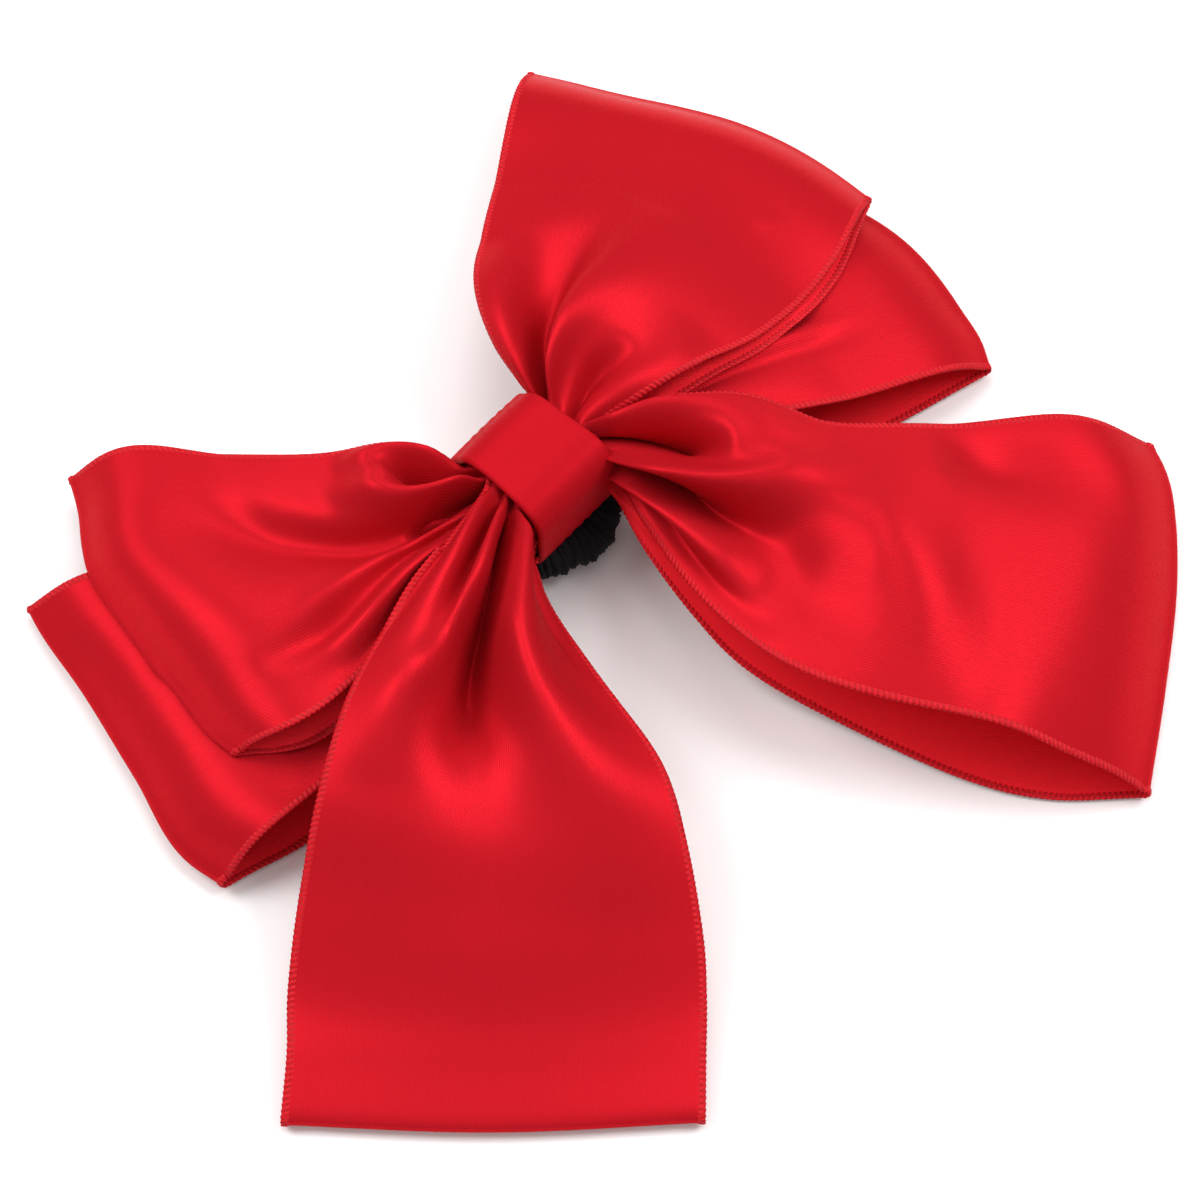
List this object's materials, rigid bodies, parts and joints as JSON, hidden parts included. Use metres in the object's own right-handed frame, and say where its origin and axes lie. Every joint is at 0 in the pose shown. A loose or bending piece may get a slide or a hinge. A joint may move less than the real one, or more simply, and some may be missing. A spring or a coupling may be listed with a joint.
{
  "type": "hair bow",
  "caption": "Satin ribbon hair bow: looped ribbons gathered and bound at the waist under a folded centre wrap, with a ruched elastic hair tie through the back.",
  "frame": {"origin": "centre of the centre wrap's flat back face", "axes": "+X along the bow towards its right loops as seen from the front, +Y towards the bow's top, +Z out of its front face; it lies on its back"},
  "size_m": [0.2189, 0.1954, 0.0303],
  "materials": {
    "satin": "satin",
    "thread": "satin",
    "elastic_cover": "matte",
    "elastic_core": "matte"
  },
  "bodies": {
    "knot": {"centre_wrap": "satin", "wrap_stitches": "thread", "waist_thread": "thread", "lower_waist": "satin", "upper_waist": "satin", "front_waist": "satin"},
    "lower_left": {"lower_left_loop": "satin"},
    "lower_right": {"lower_right_loop": "satin"},
    "upper_left": {"upper_left_loop": "satin"},
    "upper_right": {"upper_right_loop": "satin"},
    "front_left": {"front_left_loop": "satin"},
    "front_right": {"front_right_loop": "satin"},
    "hair_tie": {"hair_tie_sleeve": "elastic_cover", "hair_tie_core": "elastic_core"}
  },
  "joints": [
    {"name": "lower_left_lift", "type": "hinge", "parent": "knot", "child": "lower_left", "pos_m": [-0.012, 0, 0.017], "axis": [0, 1, 0], "range_deg": [0, 15]},
    {"name": "upper_left_lift", "type": "hinge", "parent": "lower_left", "child": "upper_left", "pos_m": [-0.012, 0, 0.017], "axis": [0, 1, 0], "range_deg": [0, 15]},
    {"name": "front_left_lift", "type": "hinge", "parent": "upper_left", "child": "front_left", "pos_m": [-0.013, -0.005, 0.017], "axis": [-0.6222, 0.7828, 0], "range_deg": [0, 20]},
    {"name": "lower_right_lift", "type": "hinge", "parent": "knot", "child": "lower_right", "pos_m": [0.012, 0, 0.017], "axis": [-0.3102, -0.9507, 0], "range_deg": [0, 15]},
    {"name": "upper_right_lift", "type": "hinge", "parent": "lower_right", "child": "upper_right", "pos_m": [0.012, 0, 0.017], "axis": [-0.3102, -0.9507, 0], "range_deg": [0, 15]},
    {"name": "front_right_lift", "type": "hinge", "parent": "upper_right", "child": "front_right", "pos_m": [0.012, -0.006, 0.017], "axis": [-0.8336, -0.5524, 0], "range_deg": [0, 20]},
    {"name": "hair_tie_swing", "type": "hinge", "parent": "knot", "child": "hair_tie", "pos_m": [0, 0.001, 0.0056], "axis": [1, 0, 0], "range_deg": [0, 120]}
  ]
}
